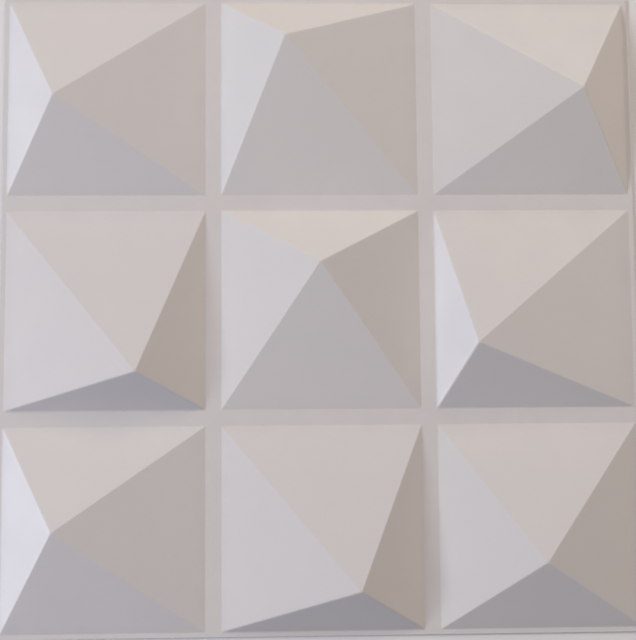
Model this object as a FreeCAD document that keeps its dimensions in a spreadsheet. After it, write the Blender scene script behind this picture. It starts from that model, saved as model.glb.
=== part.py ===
import FreeCAD, Part
import os
import Sketcher

# A square decorative wall panel, moulded in one piece from a thin matt plastic sheet.
# Nine four-sided pyramids stand on it in three rows of three. All are equally high, and each
# leans its own way, because its top is off centre by a different amount.
# Flat grooves run between the pyramids, and a narrow flat rim runs round them.
# The back is hollow: each pyramid is a shell, as thick as the grooves and the rim.
# The panel lies on its back, relief up. The origin is in the middle of the back, +Z points out
# of the wall, and +Y is the way up on the wall. Sizes are in millimetres.

os.makedirs("parts", exist_ok=True)
doc = FreeCAD.newDocument("WallPanel")

COUNT = 3  # pyramids in a row, and rows

SIZES = {
    "side": 500.0,  # length of each side of the panel
    "rim": 4.0,  # width of the flat rim outside the outer pyramids
    "groove": 12.5,  # width of the flat grooves between the pyramids
    "wall": 1.2,  # thickness of the sheet, everywhere
    "relief": 25.0,  # height of the pyramids' tops above the back
    "crown": 2.0,  # side of the small flat on top of each pyramid
    "ridge_round": 2.5,  # radius of the ridges, on the front
    "valley_round": 3.0,  # radius where a pyramid runs out into its groove, on the front
    "edge_round": 0.4,  # radius of the front edge all round the panel
}

# Middle of each pyramid's crown, from the upper left corner of its square foot: how far to the
# right, and how far down. The rows run from the top of the panel to the bottom.
APEXES = [
    [(38.0, 79.0), (51.0, 31.5), (117.5, 73.0)],
    [(102.5, 125.5), (77.0, 42.5), (31.0, 105.0)],
    [(41.0, 78.5), (105.5, 124.0), (79.5, 104.0)],
]

FOOT = f"((Sizes.side - 2 * Sizes.rim - {COUNT - 1} * Sizes.groove) / {COUNT})"
RISE = "(Sizes.relief - Sizes.wall)"

TOUCH = 0.001  # two places this close are the same


def apex_names(row, column):
    """Names of the two cells that say where one pyramid has its top."""
    place = f"row_{row + 1}_column_{column + 1}"
    return f"right_{place}", f"down_{place}"


def write_sizes():
    """Put the driving dimensions into the spreadsheet, each under its own name."""
    sizes = dict(SIZES)
    for row in range(COUNT):
        for column in range(COUNT):
            sizes.update(zip(apex_names(row, column), APEXES[row][column]))
    sheet = doc.addObject("Spreadsheet::Sheet", "Sizes")
    for line, (name, value) in enumerate(sizes.items(), start=1):
        sheet.set(f"A{line}", name)
        sheet.set(f"B{line}", str(value))
        sheet.setAlias(f"B{line}", name)
    doc.recompute()


def bind(item, measures):
    """Bind properties or constraints of one object to expressions."""
    for name, expression in measures.items():
        item.setExpression(name, expression)


def lay_on_back(body, item):
    """Attach a sketch or a feature to the body's own XY plane, the plane of the panel's back."""
    plane = next(plane for plane in body.Origin.OriginFeatures if plane.Role == "XY_Plane")
    item.AttachmentSupport = [(plane, "")]
    item.MapMode = "FlatFace"


def flat_sheet(body):
    """The square sheet that makes the rim and the grooves."""
    sketch = body.newObject("Sketcher::SketchObject", "outline")
    lay_on_back(body, sketch)
    half = SIZES["side"] / 2
    corners = [
        FreeCAD.Vector(x, y, 0) for x, y in ((-half, -half), (half, -half), (half, half), (-half, half))
    ]
    sides = range(4)
    for number in sides:
        sketch.addGeometry(Part.LineSegment(corners[number], corners[(number + 1) % 4]))
    for number in sides:
        sketch.addConstraint(Sketcher.Constraint("Coincident", number, 2, (number + 1) % 4, 1))
        sketch.addConstraint(Sketcher.Constraint("Vertical" if number % 2 else "Horizontal", number))
    sketch.addConstraint(Sketcher.Constraint("Equal", 0, 1))
    sketch.addConstraint(Sketcher.Constraint("Symmetric", 0, 1, 1, 2, -1, 1))
    width = sketch.addConstraint(Sketcher.Constraint("DistanceX", 0, 1, 0, 2, SIZES["side"]))
    sketch.renameConstraint(width, "width")
    bind(sketch, {"Constraints.width": "Sizes.side"})
    pad = body.newObject("PartDesign::Pad", "sheet")
    pad.Profile = sketch
    bind(pad, {"Length": "Sizes.wall"})
    doc.recompute()


def inset(run):
    """How far a facet's inner face lies inside its outer one, level with it, for an even wall.

    run is how far in the facet goes from its foot to its crown. The inner face is the outer one
    moved down by the wall and in by this much, so that the two are the wall apart, square to both.
    """
    return f"(Sizes.wall * tan(atan({RISE} / {run}) / 2))"


def pyramid(body, row, column, hollow):
    """One solid pyramid on the front, or the hollow behind it.

    The wedge is turned so that its X runs to the right, its Z down the panel, and its Y rises.
    """
    kind = "SubtractiveWedge" if hollow else "AdditiveWedge"
    name = "hollow" if hollow else "pyramid"
    feature = body.newObject(f"PartDesign::{kind}", f"{name}_{row + 1}_{column + 1}")
    lay_on_back(body, feature)
    feature.AttachmentOffset = FreeCAD.Placement(
        FreeCAD.Vector(), FreeCAD.Rotation(FreeCAD.Vector(1, 0, 0), 90)
    )
    pitch = f"({FOOT} + Sizes.groove)"
    edge = "(Sizes.side / 2 - Sizes.rim)"
    measures = {
        "AttachmentOffset.Base.x": f"{column} * {pitch} - {edge}",
        "AttachmentOffset.Base.y": f"{edge} - {row} * {pitch}",
        "AttachmentOffset.Base.z": "0" if hollow else "Sizes.wall",
        "Ymin": "0",
        "Ymax": RISE,
    }
    for axis, apex in zip("XZ", apex_names(row, column)):
        near = f"(Sizes.{apex} - Sizes.crown / 2)"
        far = f"(Sizes.{apex} + Sizes.crown / 2)"
        near_inset = inset(near) if hollow else "0"
        far_inset = inset(f"({FOOT} - {far})") if hollow else "0"
        measures[f"{axis}min"] = near_inset
        measures[f"{axis}max"] = f"{FOOT} - {far_inset}"
        measures[f"{axis}2min"] = f"{near} + {near_inset}"
        measures[f"{axis}2max"] = f"{far} - {far_inset}"
    bind(feature, measures)


def all_pyramids(body, hollow):
    """All nine pyramids, or all nine hollows, checked by what they add or take away."""
    before = body.Tip.Shape.Volume
    for row in range(COUNT):
        for column in range(COUNT):
            pyramid(body, row, column, hollow)
    doc.recompute()
    gained = body.Tip.Shape.Volume - before
    if gained * (-1 if hollow else 1) <= 0:
        raise ValueError(f"the {'hollows' if hollow else 'pyramids'} changed the volume by {gained}")


def middle(edge):
    """The point half way along an edge."""
    return edge.valueAt((edge.FirstParameter + edge.LastParameter) / 2)


def heights(edge):
    """Lowest and highest of an edge's two ends and its middle."""
    points = [vertex.Z for vertex in edge.Vertexes] + [middle(edge).z]
    return min(points), max(points)


def round_edges(body, name, radius, belongs):
    """Round every edge of the body that belongs() picks, and say how many there are."""
    base = body.Tip
    edges = [f"Edge{number}" for number, edge in enumerate(base.Shape.Edges, start=1) if belongs(edge)]
    fillet = body.newObject("PartDesign::Fillet", name)
    fillet.Base = (base, edges)
    bind(fillet, {"Radius": radius})
    doc.recompute()
    if abs(fillet.Shape.Volume - base.Shape.Volume) < TOUCH:
        raise ValueError(f"{name} changed nothing")
    print(f"{name}: {len(edges)} edges, {base.Shape.Volume:.0f} to {fillet.Shape.Volume:.0f} mm3")


def round_pyramids(body, side, low, ridge_radius, valley_radius):
    """Round the ridges and crowns on one side of the panel, and then the feet."""
    half = SIZES["side"] / 2
    high = low + SIZES["relief"] - SIZES["wall"]

    def on_ridge_or_crown(edge):
        lowest, highest = heights(edge)
        return abs(highest - high) < TOUCH and min(abs(lowest - low), abs(lowest - high)) < TOUCH

    def on_foot(edge):
        lowest, highest = heights(edge)
        place = middle(edge)
        inside = max(abs(place.x), abs(place.y)) < half - TOUCH
        return inside and abs(lowest - low) < TOUCH and abs(highest - low) < TOUCH

    round_edges(body, f"{side}_ridges", ridge_radius, on_ridge_or_crown)
    round_edges(body, f"{side}_valleys", valley_radius, on_foot)


def round_rim(body):
    """Ease the front edge all round the panel."""
    half = SIZES["side"] / 2

    def on_front_edge(edge):
        place = middle(edge)
        outside = max(abs(place.x), abs(place.y)) > half - TOUCH
        return outside and abs(place.z - SIZES["wall"]) < TOUCH

    round_edges(body, "rim_edge", "Sizes.edge_round", on_front_edge)


def panel():
    """The whole panel: a sheet, nine pyramids on its front, and nine hollows in its back."""
    body = doc.addObject("PartDesign::Body", "wall_panel")
    body.Label = "wall_panel"
    flat_sheet(body)
    all_pyramids(body, hollow=False)
    all_pyramids(body, hollow=True)
    round_pyramids(body, "front", SIZES["wall"], "Sizes.ridge_round", "Sizes.valley_round")
    round_pyramids(
        body, "back", 0.0, "Sizes.ridge_round - Sizes.wall", "Sizes.valley_round + Sizes.wall"
    )
    round_rim(body)
    body.Placement = FreeCAD.Placement()
    return body


def check(parts):
    """Stop if anything in the document failed, or a part is empty or broken."""
    for item in doc.Objects:
        if "Invalid" in item.State or "Error" in item.State:
            raise ValueError(f"{item.Name} failed: {item.State}")
    for part in parts:
        if part.Shape.isNull() or not part.Shape.isValid():
            raise ValueError(f"{part.Label} has no valid shape")
        if len(part.Shape.Solids) != 1:
            raise ValueError(f"{part.Label} has {len(part.Shape.Solids)} solids")


write_sizes()
parts = [panel()]
doc.recompute()
check(parts)
for part in parts:
    box = part.Shape.BoundBox
    print(f"{part.Label}: {box.XLength:.2f} x {box.YLength:.2f} x {box.ZLength:.2f} mm, "
          f"{part.Shape.Volume / 1000:.1f} cm3, {len(part.Shape.Faces)} faces")
    part.Shape.exportStep(f"parts/{part.Label}.step")
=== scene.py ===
# %% [markdown]
# # A moulded wall panel with nine leaning pyramids
# The object is one thin sheet of matt white plastic, softened by heat and drawn into a mould. The
# mould gives it nine four-sided pyramids, flat grooves between them and a flat rim. It lies on its
# back here, relief up. The measured model comes first, because its box and its sizes are what the
# finished panel has to keep. Everything after it is in metres, in the same place and at real size.

# %% The measured model
import math

import bmesh
import bpy
from mathutils import Euler, Matrix, Vector, noise


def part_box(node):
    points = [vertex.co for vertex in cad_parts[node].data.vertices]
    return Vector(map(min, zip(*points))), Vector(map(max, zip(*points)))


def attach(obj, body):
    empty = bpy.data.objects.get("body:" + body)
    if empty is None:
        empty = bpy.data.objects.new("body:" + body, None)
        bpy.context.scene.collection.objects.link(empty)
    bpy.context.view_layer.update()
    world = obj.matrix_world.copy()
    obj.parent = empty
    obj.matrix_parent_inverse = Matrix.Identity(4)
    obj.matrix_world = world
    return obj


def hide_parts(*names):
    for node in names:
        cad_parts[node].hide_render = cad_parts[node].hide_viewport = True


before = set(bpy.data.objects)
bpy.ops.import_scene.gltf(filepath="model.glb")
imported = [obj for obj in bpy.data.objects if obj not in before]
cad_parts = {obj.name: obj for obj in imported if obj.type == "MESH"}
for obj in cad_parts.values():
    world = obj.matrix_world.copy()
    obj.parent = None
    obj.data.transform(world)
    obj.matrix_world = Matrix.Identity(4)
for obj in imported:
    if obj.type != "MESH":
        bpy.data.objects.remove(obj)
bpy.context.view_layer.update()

scene = bpy.context.scene
MM = 0.001
NODE = "wall_panel"
low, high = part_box(NODE)
print("measured box in mm:", [round(size / MM, 1) for size in high - low])

# %% [markdown]
# ## The driving sizes
# The side and the height come from the measured model. The rim, the grooves, the sheet's thickness
# and the places of the nine tops are the mould's own dimensions. A top's place is given from the
# upper left corner of its square foot, to the right and down, as one would mark it out on the mould.

# %% Sizes of the mould
SIDE = high.x - low.x
RELIEF = high.z - low.z
COUNT = 3
RIM = 4.0 * MM
GROOVE = 12.5 * MM
WALL = 1.2 * MM
CROWN = 2.0 * MM
RIDGE_RADIUS = 2.5 * MM
VALLEY_RADIUS = 3.0 * MM
EDGE_RADIUS = 0.4 * MM
FOOT = (SIDE - 2 * RIM - (COUNT - 1) * GROOVE) / COUNT
TOPS = [
    [(38.0, 79.0), (51.0, 31.5), (117.5, 73.0)],
    [(102.5, 125.5), (77.0, 42.5), (31.0, 105.0)],
    [(41.0, 78.5), (105.5, 124.0), (79.5, 104.0)],
]
print(f"each pyramid's foot is {FOOT / MM:.2f} mm square")

# %% [markdown]
# ## The sheet, marked out
# The front face starts as one square. It is cut along the edges of every foot, which leaves nine
# large squares, the grooves and the rim. Cutting with planes keeps the sheet flat and in one piece,
# and the lines land exactly where the mould has them.

# %% Cut the square along the edges of the feet
SAME_PLACE = MM / 1000  # two points this close are one


def foot_start(number):
    """Where a foot begins, from the panel's left or upper edge."""
    return RIM + number * (FOOT + GROOVE)


def cut_both_ways(mesh, place):
    """Cut the whole mesh this far from its middle, by a plane square to X and by one square to Y."""
    for axis in (Vector((1, 0, 0)), Vector((0, 1, 0))):
        everything = mesh.verts[:] + mesh.edges[:] + mesh.faces[:]
        bmesh.ops.bisect_plane(
            mesh, geom=everything, dist=SAME_PLACE, plane_co=axis * place, plane_no=axis
        )


sheet = bmesh.new()
bmesh.ops.create_grid(
    sheet, x_segments=1, y_segments=1, size=SIDE / 2, matrix=Matrix.Translation((0, 0, WALL))
)
for number in range(COUNT):
    for start in (foot_start(number), foot_start(number) + FOOT):
        cut_both_ways(sheet, start - SIDE / 2)
print("faces after marking out:", len(sheet.faces))

# %% [markdown]
# ## Raising the pyramids
# Inside each large square an inset leaves a tiny square, the crown. Lifting the crown and moving it
# off centre draws the four facets up behind it, just as the mould does. All nine crowns are equally
# high, so a crown near one side of its foot gives one steep facet and one long gentle one.

# %% Inset, then lift each crown to its own place
PYRAMIDS = [(row, column) for row in range(COUNT) for column in range(COUNT)]


def corner_and_top(row, column):
    """The upper left corner of a pyramid's foot, and the middle of its crown."""
    right, down = TOPS[row][column]
    corner = Vector((foot_start(column) - SIDE / 2, SIDE / 2 - foot_start(row), WALL))
    return corner, corner + Vector((right * MM, -down * MM, RELIEF - WALL))


def raise_pyramid(row, column):
    """Lift the square foot in this row and column to its crown."""
    corner, top = corner_and_top(row, column)
    centre = corner + Vector((FOOT / 2, -FOOT / 2, 0))
    face = min(sheet.faces, key=lambda face: (face.calc_center_median() - centre).length)
    bmesh.ops.inset_individual(sheet, faces=[face], thickness=(FOOT - CROWN) / 2, use_even_offset=True)
    bmesh.ops.translate(sheet, verts=face.verts[:], vec=top - centre)


for row, column in PYRAMIDS:
    raise_pyramid(row, column)
print("height reached in mm:", round(max(vert.co.z for vert in sheet.verts) / MM, 2))

# %% [markdown]
# ## From a loose mesh to a piece
# A mesh is easiest to cut and lift while it is loose. To be seen it needs an object, and the object
# can then have modifiers, which change its shape by a rule. Once a modifier has done its work, the
# shape that it gives becomes the piece's own, so that the next step has real points to work on.

# %% Helpers for pieces and their modifiers
def finished_mesh(name, mesh):
    """A new object that holds this mesh."""
    data = bpy.data.meshes.new(name)
    mesh.to_mesh(data)
    mesh.free()
    piece = bpy.data.objects.new(name, data)
    scene.collection.objects.link(piece)
    return piece


def add_modifier(piece, name, kind, **settings):
    """Put a modifier with these settings on a piece."""
    modifier = piece.modifiers.new(name, kind)
    for setting, value in settings.items():
        setattr(modifier, setting, value)


def apply_modifiers(piece):
    """Make the shape that the modifiers give the piece's own, and take them away."""
    shaped = piece.evaluated_get(bpy.context.evaluated_depsgraph_get())
    old = piece.data
    piece.data = bpy.data.meshes.new_from_object(shaped)
    piece.modifiers.clear()
    bpy.data.meshes.remove(old)


# %% [markdown]
# ## Soft ridges and valleys
# A drawn sheet never folds sharply: the ridges and the valleys have a small radius. A bevel of one
# width would make steep folds tight and gentle ones wide. So each edge gets a weight from its own
# fold, the radius times the tangent of half the angle, and the rounding has the same radius along
# every ridge, as the mould does.

# %% Weigh every fold by its angle, and round it
FLAT = math.radians(1)  # a fold of less than this counts as flat
FOLD_STEPS = 5  # strips in a rounding


def fold_width(edge):
    """How far from the fold its rounding starts. A flat edge, or one on the outline, has none."""
    if len(edge.link_faces) != 2 or edge.calc_face_angle() < FLAT:
        return 0.0
    radius = RIDGE_RADIUS if edge.is_convex else VALLEY_RADIUS
    return radius * math.tan(edge.calc_face_angle() / 2)


sheet.normal_update()
widest = max(fold_width(edge) for edge in sheet.edges)
weight = sheet.edges.layers.float.new("bevel_weight_edge")
for edge in sheet.edges:
    edge[weight] = fold_width(edge) / widest
panel = finished_mesh("panel", sheet)
add_modifier(
    panel, "soft folds", "BEVEL", limit_method="WEIGHT", offset_type="OFFSET", width=widest,
    segments=FOLD_STEPS, profile=0.5, use_clamp_overlap=False,
)
apply_modifiers(panel)
print(f"widest fold {widest / MM:.2f} mm, faces now {len(panel.data.polygons)}")

# %% [markdown]
# ## How near a place is to a ridge
# The ridges are what hands and packing rub, so the finish of the front will ask how far a point is
# from the nearest one. A ridge runs straight from a corner of a foot to the top, so this is the
# distance between a point and a line with two ends. The lines come from the mould's sizes and not
# from the mesh, where the rounding has already replaced every sharp edge by a strip of faces.

# %% The distance to the nearest ridge
def ridge_lines(row, column):
    """The four ridges of one pyramid, each as its lower and its upper end."""
    corner, top = corner_and_top(row, column)
    return [(corner + Vector((x, -y, 0)), top) for x in (0, FOOT) for y in (0, FOOT)]


RIDGES = [line for row, column in PYRAMIDS for line in ridge_lines(row, column)]


def ridge_distance(place):
    """How far this place is from the nearest ridge of any pyramid."""
    distances = []
    for foot, top in RIDGES:
        along = (place - foot).dot(top - foot) / (top - foot).length_squared
        nearest = foot.lerp(top, max(0.0, min(1.0, along)))
        distances.append((place - nearest).length)
    return min(distances)


print("ridges:", len(RIDGES))

# %% [markdown]
# ## The unevenness of a drawn sheet
# Large facets of a thin sheet are never quite flat: they keep a few hundredths of a millimetre of
# swell from the heating. The facets are cut into small patches, so that there is something to move,
# and a slow noise lifts and lowers them a little. It fades out towards the grooves and the crowns,
# which stay as measured. Before a point moves, it notes how far it is from the nearest ridge.

# %% Cut the facets into patches and let them swell
PATCH = 10.0 * MM
SWELL = 0.06 * MM
SWELL_LENGTH = 45.0 * MM
FADE = 3.0 * MM


def swell(place):
    """How far the sheet stands out of true at this place."""
    above = min(place.z - WALL, RELIEF - place.z)
    fade = max(0.0, min(1.0, above / FADE))
    return SWELL * fade * noise.noise(place / SWELL_LENGTH)


skin = bmesh.new()
skin.from_mesh(panel.data)
patches = round(SIDE / PATCH)
for number in range(1, patches):
    cut_both_ways(skin, number * SIDE / patches - SIDE / 2)
from_ridge = skin.verts.layers.float.new("from_ridge")
for vert in skin.verts:
    vert[from_ridge] = ridge_distance(vert.co)
    vert.co.z += swell(vert.co)
bmesh.ops.triangulate(skin, faces=[face for face in skin.faces if len(face.verts) > 4])
skin.to_mesh(panel.data)
skin.free()
print("faces in the front:", len(panel.data.polygons))

# %% [markdown]
# ## The thickness of the sheet
# The back follows the front at an even distance, which leaves nine hollows. Solidify does exactly
# that. It also gives the back and the trimmed edge a material number of their own, because only the
# front has touched the grained side of the mould.

# %% Give the sheet its wall
add_modifier(
    panel, "wall", "SOLIDIFY", thickness=WALL, offset=-1.0, use_even_offset=True,
    material_offset=1, material_offset_rim=2,
)
apply_modifiers(panel)
print("faces with the back and the edge:", len(panel.data.polygons))

# %% [markdown]
# ## The trimmed edge
# The panel is cut out of its sheet with a knife. Its front edge is broken very slightly, so that it
# doesn't cut the hands of whoever lays it. Only the outer front edges get this small round.

# %% Break the front edge
NEARLY = MM / 100  # a point this close to the outline is on it
EDGE_STEPS = 3


def on_front_edge(edge):
    """True for an edge of the outline, on the front."""
    return all(
        vert.co.z > WALL - NEARLY and max(abs(vert.co.x), abs(vert.co.y)) > SIDE / 2 - NEARLY
        for vert in edge.verts
    )


trimmed = bmesh.new()
trimmed.from_mesh(panel.data)
bmesh.ops.bevel(
    trimmed, geom=[edge for edge in trimmed.edges if on_front_edge(edge)], offset=EDGE_RADIUS,
    offset_type="OFFSET", affect="EDGES", segments=EDGE_STEPS, profile=0.5, material=-1,
    clamp_overlap=False,
)
bmesh.ops.recalc_face_normals(trimmed, faces=trimmed.faces[:])
print("open edges:", sum(not edge.is_manifold for edge in trimmed.edges))

# %% [markdown]
# ## Even shading
# Smooth shading blends the light across neighbouring faces. On its own it would also bend the light
# on the flat grooves, next to their roundings. Weighting each face by its size lets the large flat
# ones win, so the grooves look flat and only the narrow strips of the rounding look round.

# %% Shade smoothly, and let large faces decide
for face in trimmed.faces:
    face.smooth = True
trimmed.to_mesh(panel.data)
trimmed.free()
add_modifier(panel, "even shading", "WEIGHTED_NORMAL", keep_sharp=True, weight=100)
panel.data.validate()
print("faces of the panel:", len(panel.data.polygons))

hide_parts(NODE)
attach(panel, "root")

# %% [markdown]
# ## How the looks of the plastic are built
# The front, the back and the edge are one white plastic with three finishes, so they share their
# effects: a cloudy tint, a fine grain, and painted shade in low places with dust specks in it. Each
# is a node group, built once and placed in every material with its own values. A group gives only
# colours and numbers. The shader stays in the material, where other programs can find it. All sizes
# in the groups are real ones, in metres.

# %% Helpers for nodes and groups
def fill(tree, node, values):
    """Give a node's inputs plain values, or link them to the outputs of other nodes."""
    for name, value in values.items():
        if isinstance(value, bpy.types.NodeSocket):
            tree.links.new(value, node.inputs[name])
        else:
            node.inputs[name].default_value = value
    return node


def add(tree, kind, values=None, **settings):
    """A new shader node with these settings and these values in its inputs."""
    node = tree.nodes.new("ShaderNode" + kind)
    for name, value in settings.items():
        setattr(node, name, value)
    return fill(tree, node, values or {})


def start_group(name, inputs, outputs):
    """A new node group with named sockets. It comes with its input node and its output node."""
    tree = bpy.data.node_groups.new(name, "ShaderNodeTree")
    for direction, sockets in (("INPUT", inputs), ("OUTPUT", outputs)):
        for socket, kind in sockets.items():
            tree.interface.new_socket(socket, in_out=direction, socket_type="NodeSocket" + kind)
    return tree, tree.nodes.new("NodeGroupInput"), tree.nodes.new("NodeGroupOutput")


# %% [markdown]
# ## Four small tools
# Nearly every effect comes down to the same few steps. A soft noise says where something happens.
# Its values lie close together in the middle, so they are stretched over the range that is wanted.
# The result then blends two colours, or is added to or multiplied with another number.

# %% Helpers for colours and numbers
def maths(tree, operation, first, second, clamp=False):
    """Two values, joined by an operation such as ADD or MULTIPLY."""
    return add(tree, "Math", {0: first, 1: second}, operation=operation, use_clamp=clamp).outputs[0]


def clouds(tree, coordinates, size, detail):
    """A soft noise from 0 to 1, whose clouds have this size in metres."""
    scale = maths(tree, "DIVIDE", 1.0, size)
    return add(tree, "TexNoise", {"Vector": coordinates, "Scale": scale, "Detail": detail}).outputs[0]


def stretch(tree, value, least, most, start=0.0, end=1.0):
    """Bring values between least and most to between start and end, and hold them there."""
    values = {"Value": value, "From Min": least, "From Max": most, "To Min": start, "To Max": end}
    return add(tree, "MapRange", values, clamp=True).outputs[0]


def mix_colours(tree, factor, first, second):
    """Two colours, blended by a factor. The node's colour sockets are its seventh and eighth."""
    return add(tree, "Mix", {0: factor, 6: first, 7: second}, data_type="RGBA").outputs[2]


# %% [markdown]
# ## A cloudy tint
# Molten plastic never mixes perfectly, and a heated sheet cools unevenly. Its white drifts a little
# between two tints that are almost the same, in clouds a few centimetres wide. A soft noise chooses
# between the two. The tints are set in the material, so the back can be a touch greyer.

# %% The group "cloudy tint"
tint_tree, given, result = start_group(
    "cloudy tint",
    {"Coordinates": "Vector", "Tint": "Color", "Second tint": "Color", "Size": "Float"},
    {"Colour": "Color", "Clouds": "Float"},
)
cloud = clouds(tint_tree, given.outputs["Coordinates"], given.outputs["Size"], detail=3.0)
cloud = stretch(tint_tree, cloud, least=0.32, most=0.68)
colour = mix_colours(tint_tree, cloud, given.outputs["Tint"], given.outputs["Second tint"])
fill(tint_tree, result, {"Colour": colour, "Clouds": cloud})
print("nodes in the cloudy tint:", len(tint_tree.nodes))

# %% [markdown]
# ## A fine grain
# The matt front comes from a blasted mould: its skin is covered in shallow pits about a millimetre
# wide and some hundredths deep. The grain is a height, which a Bump node will turn into shading. It
# is too fine for geometry. The same group lets the roughness wander in patches, because no blasted
# or polished surface is equally matt all over.

# %% The group "fine grain"
grain_tree, given, result = start_group(
    "fine grain",
    {"Coordinates": "Vector", "Size": "Float", "Patch": "Float", "Smooth": "Float", "Rough": "Float"},
    {"Roughness": "Float", "Height": "Float"},
)
pits = clouds(grain_tree, given.outputs["Coordinates"], given.outputs["Size"], detail=2.0)
patch = clouds(grain_tree, given.outputs["Coordinates"], given.outputs["Patch"], detail=4.0)
roughness = stretch(
    grain_tree, patch, least=0.3, most=0.7, start=given.outputs["Smooth"], end=given.outputs["Rough"]
)
fill(grain_tree, result, {"Height": pits, "Roughness": roughness})
print("nodes in the fine grain:", len(grain_tree.nodes))

# %% [markdown]
# ## Painted shade in low places, with dust
# A grey film darkens the white where the surface lies lowest: in the grooves of the front, and on the
# back at the level of the grooves. It is painted shade, uneven, with finer specks of dust in it. The
# material says where it may lie with a mask, and how much of it there is. A clean new panel needs very
# little, only enough to take the edge off the white.

# %% The group "painted shade and dust"
FILM_SIZE = 18.0 * MM
SPECK_SIZE = 1.2 * MM

shade_dust_tree, given, result = start_group(
    "painted shade and dust",
    {"Coordinates": "Vector", "Colour": "Color", "Film colour": "Color", "Where": "Float", "Amount": "Float"},
    {"Colour": "Color", "Film": "Float"},
)
# The film is painted shade, and the specks in it are dust.
film = clouds(shade_dust_tree, given.outputs["Coordinates"], FILM_SIZE, detail=5.0)
film = stretch(shade_dust_tree, film, least=0.35, most=0.7, start=0.3)
specks = clouds(shade_dust_tree, given.outputs["Coordinates"], SPECK_SIZE, detail=1.0)
specks = stretch(shade_dust_tree, specks, least=0.6, most=0.75)
both = maths(shade_dust_tree, "ADD", film, specks, clamp=True)
allowed = maths(shade_dust_tree, "MULTIPLY", given.outputs["Where"], given.outputs["Amount"])
film = maths(shade_dust_tree, "MULTIPLY", both, allowed)
colour = mix_colours(shade_dust_tree, film, given.outputs["Colour"], given.outputs["Film colour"])
fill(shade_dust_tree, result, {"Colour": colour, "Film": film})
print("nodes in the painted shade and dust:", len(shade_dust_tree.nodes))

# %% [markdown]
# ## What every material starts from
# The Principled shader describes most plastics with a colour, a roughness and the direction of the
# surface. The patterns follow the object's own coordinates, so they keep their real size and stay
# on the piece. Each finish turns them by an angle of its own, so that its clouds don't repeat those
# of the next. A Bump node turns a height into shading, and can lie on top of another one.

# %% Helpers for materials
def new_material(name):
    """A material, its node tree and its shader."""
    material = bpy.data.materials.new(name)
    material.use_nodes = True
    return material, material.node_tree, material.node_tree.nodes["Principled BSDF"]


def own_place(tree):
    """The object's own coordinates, in metres."""
    return add(tree, "TexCoord").outputs["Object"]


def placed(tree, turn=0.0, drawn_out=1.0):
    """The object's own coordinates, turned about Z, and squeezed along Z to draw a pattern out."""
    turned = {"Rotation": (0.0, 0.0, turn), "Scale": (1.0, 1.0, 1.0 / drawn_out)}
    return add(tree, "Mapping", {"Vector": own_place(tree), **turned}).outputs[0]


def height_above_back(tree):
    """How far a point is above the back of the panel, in metres."""
    return add(tree, "SeparateXYZ", {0: own_place(tree)}).outputs["Z"]


def use(tree, group, values):
    """One of the groups, placed in a material with its own values."""
    return add(tree, "Group", values, node_tree=group)


def bump(tree, height, depth, under=None):
    """Shading of a relief this deep, in metres, on top of another one if there is one."""
    values = {"Height": height, "Distance": depth, "Strength": 1.0}
    if under is not None:
        values["Normal"] = under
    return add(tree, "Bump", values).outputs[0]


# %% [markdown]
# ## The matt front
# The side that is seen is warm white and dull. It has three things on top of the shared effects.
# Where the sheet is drawn furthest, towards the tops, it is thinner and a shade cooler. Along the
# ridges it is rubbed a little smoother. And under the fine grain lies a slow ripple, a few
# millimetres long, that the softened sheet keeps. The height comes from the object's own Z, and the
# ridges from the distance that was noted on the mesh.

# %% The material of the front
WARM_WHITE = (0.742, 0.722, 0.710, 1.0)
COOL_WHITE = (0.722, 0.708, 0.702, 1.0)
THIN_WHITE = (0.728, 0.716, 0.712, 1.0)
# The grey of the painted shade in the grooves and under the back, and of its dust specks.
SHADE_DUST_GREY = (0.46, 0.44, 0.42, 1.0)
THIN_SHARE = 0.6  # how much of the thinner white shows at the very top
GROOVE_SHADE_FROM, GROOVE_SHADE_TO = 0.2 * MM, 2.5 * MM  # heights above the groove, where the painted shade and its dust get less and end
FILM_DULLS = 2.0  # roughness added for each unit of the grey film of painted shade and dust
RUB_FROM, RUB_TO = 0.6 * MM, 3.0 * MM  # distances from a ridge, where the rubbing gets less and ends
RUB = 0.14  # roughness that rubbing takes away at most
PIT_DEPTH = 0.08 * MM
RIPPLE_LENGTH, RIPPLE_DEPTH = 7.0 * MM, 0.08 * MM

front, tree, shader = new_material("matt front")
where = placed(tree, turn=0.4)
up = height_above_back(tree)
tint = use(tree, tint_tree, {
    "Coordinates": where, "Tint": WARM_WHITE, "Second tint": COOL_WHITE, "Size": 45.0 * MM,
})
thin = maths(tree, "MULTIPLY", stretch(tree, up, WALL, RELIEF), THIN_SHARE)
drawn = mix_colours(tree, thin, tint.outputs["Colour"], THIN_WHITE)
# Painted shade: the white is darkened near the groove floors, between the pyramids.
in_groove = stretch(tree, up, WALL + GROOVE_SHADE_FROM, WALL + GROOVE_SHADE_TO, start=1.0, end=0.0)
shade_and_dust = use(tree, shade_dust_tree, {
    "Coordinates": where, "Colour": drawn, "Film colour": SHADE_DUST_GREY, "Where": in_groove, "Amount": 0.07,
})
grain = use(tree, grain_tree, {
    "Coordinates": where, "Size": 1.1 * MM, "Patch": 30.0 * MM, "Smooth": 0.55, "Rough": 0.67,
})
ridge = add(tree, "Attribute", attribute_name="from_ridge").outputs["Fac"]
near_ridge = stretch(tree, ridge, RUB_FROM, RUB_TO, start=1.0, end=0.0)
rubbed = maths(tree, "MULTIPLY", near_ridge, tint.outputs["Clouds"])
smoother = maths(tree, "MULTIPLY", rubbed, -RUB)
duller = maths(tree, "MULTIPLY", shade_and_dust.outputs["Film"], FILM_DULLS)
matt = maths(tree, "ADD", grain.outputs["Roughness"], smoother)
matt = maths(tree, "ADD", matt, duller, clamp=True)
ripple = bump(tree, clouds(tree, where, RIPPLE_LENGTH, detail=2.0), RIPPLE_DEPTH)
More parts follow.
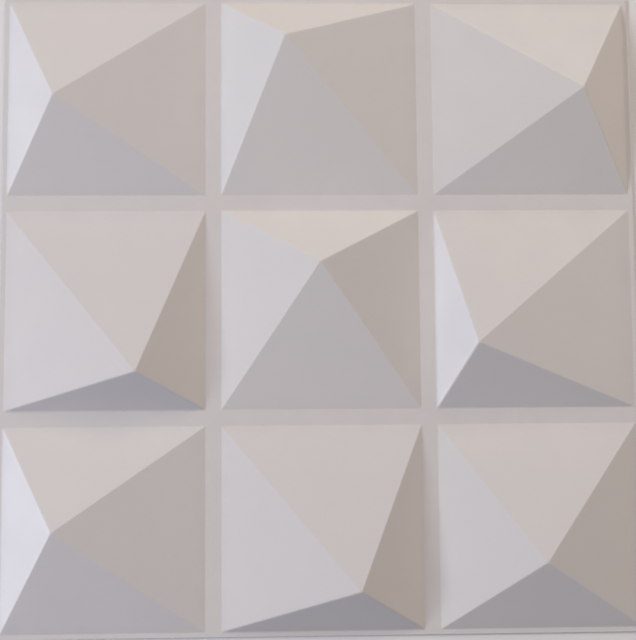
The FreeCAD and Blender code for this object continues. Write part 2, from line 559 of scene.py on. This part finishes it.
relief = bump(tree, grain.outputs["Height"], PIT_DEPTH, under=ripple)
fill(tree, shader, {"Base Color": shade_and_dust.outputs["Colour"], "Roughness": matt, "Normal": relief})
print("nodes in the matt front:", len(tree.nodes))

# %% [markdown]
# ## The smooth back
# The free side of the sheet never touched the mould, so it is smoother and a little shinier. It has
# the soft orange-peel look of plastic that cooled in air, and its white is a touch greyer. At the
# level of the grooves, where the panel would be glued and where it lies on the board, a grey film of
# painted shade with dust specks darkens it.

# %% The material of the back
BACK_WHITE = (0.710, 0.696, 0.690, 1.0)
BACK_GREY = (0.680, 0.668, 0.664, 1.0)
BACK_SHADE_FROM, BACK_SHADE_TO = 0.2 * MM, 3.0 * MM  # heights above the back, where the painted shade and its dust get less and end
PEEL_DEPTH = 0.15 * MM

back, tree, shader = new_material("smooth back")
where = placed(tree, turn=-0.7)
tint = use(tree, tint_tree, {
    "Coordinates": where, "Tint": BACK_WHITE, "Second tint": BACK_GREY, "Size": 30.0 * MM,
})
up = height_above_back(tree)
# Painted shade: the back is darkened at the level of the grooves, where it lies on the board.
at_groove = stretch(tree, up, BACK_SHADE_FROM, BACK_SHADE_TO, start=1.0, end=0.0)
shade_and_dust = use(tree, shade_dust_tree, {
    "Coordinates": where, "Colour": tint.outputs["Colour"], "Film colour": SHADE_DUST_GREY, "Where": at_groove,
    "Amount": 0.12,
})
peel = use(tree, grain_tree, {
    "Coordinates": where, "Size": 5.0 * MM, "Patch": 20.0 * MM, "Smooth": 0.34, "Rough": 0.46,
})
fill(tree, shader, {
    "Base Color": shade_and_dust.outputs["Colour"], "Roughness": peel.outputs["Roughness"],
    "Normal": bump(tree, peel.outputs["Height"], PEEL_DEPTH),
})
print("nodes in the smooth back:", len(tree.nodes))

# %% [markdown]
# ## The finish of the edge
# A knife leaves fine scratches straight through the thickness of the sheet, and the cut plastic
# turns a little whiter. The scratches are the same fine grain, drawn out by a Mapping node that
# makes its pattern twelve times longer through the sheet than along it.

# %% The material of the edge
CUT_WHITE = (0.765, 0.752, 0.742, 1.0)
CUT_SHADE = (0.700, 0.684, 0.672, 1.0)
SCRATCH_DEPTH = 0.06 * MM

edge_cut, tree, shader = new_material("trimmed edge")
where = placed(tree, drawn_out=12)
tint = use(tree, tint_tree, {
    "Coordinates": where, "Tint": CUT_WHITE, "Second tint": CUT_SHADE, "Size": 0.9 * MM,
})
scratches = use(tree, grain_tree, {
    "Coordinates": where, "Size": 0.25 * MM, "Patch": 10.0 * MM, "Smooth": 0.55, "Rough": 0.8,
})
fill(tree, shader, {
    "Base Color": tint.outputs["Colour"], "Roughness": scratches.outputs["Roughness"],
    "Normal": bump(tree, scratches.outputs["Height"], SCRATCH_DEPTH),
})
for material in (front, back, edge_cut):
    panel.data.materials.append(material)
print("finishes of the panel:", [material.name for material in panel.data.materials])

# %% [markdown]
# ## The floor
# The panel lies on a plain pale board. It is painted with a roller, which leaves a very faint
# texture and slightly uneven gloss, and it takes the panel's shadow. Well away from the panel the
# board fades out into the backdrop, as on the curved sweep of a studio, so that no horizon shows in
# a low view. The board isn't part of the panel.

# %% A painted board
PAINT = (0.870, 0.870, 0.870, 1.0)
SECOND_PAINT = (0.862, 0.862, 0.862, 1.0)
BOARD = 1.3  # metres from its middle to each side
FADE_FROM, FADE_TO = 0.7, BOARD - 0.05
GAP = 0.05 * MM  # keeps the board's face and the panel's back apart
ROLLER_DEPTH = 0.05 * MM

ground = bmesh.new()
bmesh.ops.create_grid(
    ground, x_segments=1, y_segments=1, size=BOARD, matrix=Matrix.Translation((0, 0, -GAP))
)
floor = finished_mesh("floor", ground)
painted, tree, shader = new_material("painted board")
where = placed(tree)
tint = use(tree, tint_tree, {
    "Coordinates": where, "Tint": PAINT, "Second tint": SECOND_PAINT, "Size": 120.0 * MM,
})
roller = use(tree, grain_tree, {
    "Coordinates": where, "Size": 2.5 * MM, "Patch": 80.0 * MM, "Smooth": 0.8, "Rough": 0.95,
})
away = add(tree, "VectorMath", {0: where}, operation="LENGTH").outputs["Value"]
fill(tree, shader, {
    "Base Color": tint.outputs["Colour"], "Roughness": roller.outputs["Roughness"],
    "Normal": bump(tree, roller.outputs["Height"], ROLLER_DEPTH),
    "Alpha": stretch(tree, away, FADE_FROM, FADE_TO, start=1.0, end=0.0),
})
floor.data.materials.append(painted)
print("side of the board in metres:", 2 * BOARD)

# %% [markdown]
# ## The lamps
# Most of the light is a window, low on the left: it makes the left facets bright, and it casts soft
# shadows into the grooves behind the steep right ones. A wide warm light, higher and from the upper
# right, opens those shadows. Both stand four metres away, so that the far side of the panel isn't
# much darker than the near one. A small cool light, closer to the lower left corner, gives that
# corner its bluer tone.

# %% Three soft lamps
def lamp(name, azimuth, elevation, distance, size, power, colour):
    """A soft square lamp that looks at the middle of the panel.

    azimuth is its angle round the panel, from +X, and elevation its angle above the floor, both in
    degrees. distance and size are in metres, and power in watts.
    """
    light = bpy.data.lights.new(name, "AREA")
    light.size = size
    light.energy = power
    light.color = colour
    holder = bpy.data.objects.new(name, light)
    around, above = math.radians(azimuth), math.radians(elevation)
    level = math.cos(above)
    towards = Vector((math.cos(around) * level, math.sin(around) * level, math.sin(above)))
    holder.location = towards * distance
    holder.rotation_euler = (-towards).to_track_quat("-Z", "Y").to_euler()
    holder.visible_camera = False
    scene.collection.objects.link(holder)
    print(f"{name}: {power} W from {distance} m")


lamp("window", azimuth=180, elevation=23, distance=4.0, size=0.9, power=88.8,
     colour=(0.921, 0.980, 1.0))
lamp("warm fill", azimuth=60, elevation=35, distance=4.0, size=2.7, power=105.8,
     colour=(1.0, 0.866, 0.758))
lamp("cool corner light", azimuth=200, elevation=25, distance=2.0, size=0.6, power=9.1,
     colour=(0.600, 0.611, 1.0))

# %% [markdown]
# ## The room
# What light is left comes evenly from the room, and it is faint. The camera would see the same faint
# colour round the board, as a dark wall. So the camera and reflections are shown a pale backdrop
# instead. That shows in the sheen of the plastic, and adds nothing to its matt shading.

# %% A faint room with a pale backdrop
ROOM = (0.100, 0.090, 0.090, 1.0)
BACKDROP = (0.70, 0.69, 0.68, 1.0)

world = bpy.data.worlds.new("room")
scene.world = world
world.use_nodes = True
tree = world.node_tree
ray = add(tree, "LightPath")
seen = maths(tree, "MAXIMUM", ray.outputs["Is Camera Ray"], ray.outputs["Is Glossy Ray"])
seen = maths(tree, "MAXIMUM", seen, ray.outputs["Is Transmission Ray"])
fill(tree, tree.nodes["Background"], {"Color": mix_colours(tree, seen, ROOM, BACKDROP)})
print("nodes in the room:", len(tree.nodes))

# %% [markdown]
# ## The camera
# It looks down on the panel from a little left of and below the middle, and is turned very slightly.
# The places of the grooves in the picture, which is 636 pixels wide and 640 high, give its tilt and
# its distance. The shift moves the frame without turning the camera, so the panel's lower edge sits
# where it should. The lens and the shift are worked out from pixels of the picture's longer side.

# %% Camera
PICTURE_HEIGHT = 640
FOCAL_PIXELS = 1531.5
SHIFT_PIXELS = (2, -97)
TILT = (7.32, -2.40, -0.48)  # degrees about X, Y and Z
camera = bpy.data.objects.new("camera", bpy.data.cameras.new("camera"))
scene.collection.objects.link(camera)
camera.data.sensor_width = 36.0
camera.data.lens = FOCAL_PIXELS * camera.data.sensor_width / PICTURE_HEIGHT
camera.location = (-0.0548, -0.0856, 1.2)
camera.rotation_euler = Euler([math.radians(angle) for angle in TILT])
camera.data.shift_x, camera.data.shift_y = (shift / PICTURE_HEIGHT for shift in SHIFT_PIXELS)
scene.camera = camera
scene.view_settings.view_transform = "Standard"
print(f"lens {camera.data.lens:.1f} mm, {camera.location.z:.2f} m above the back of the panel")
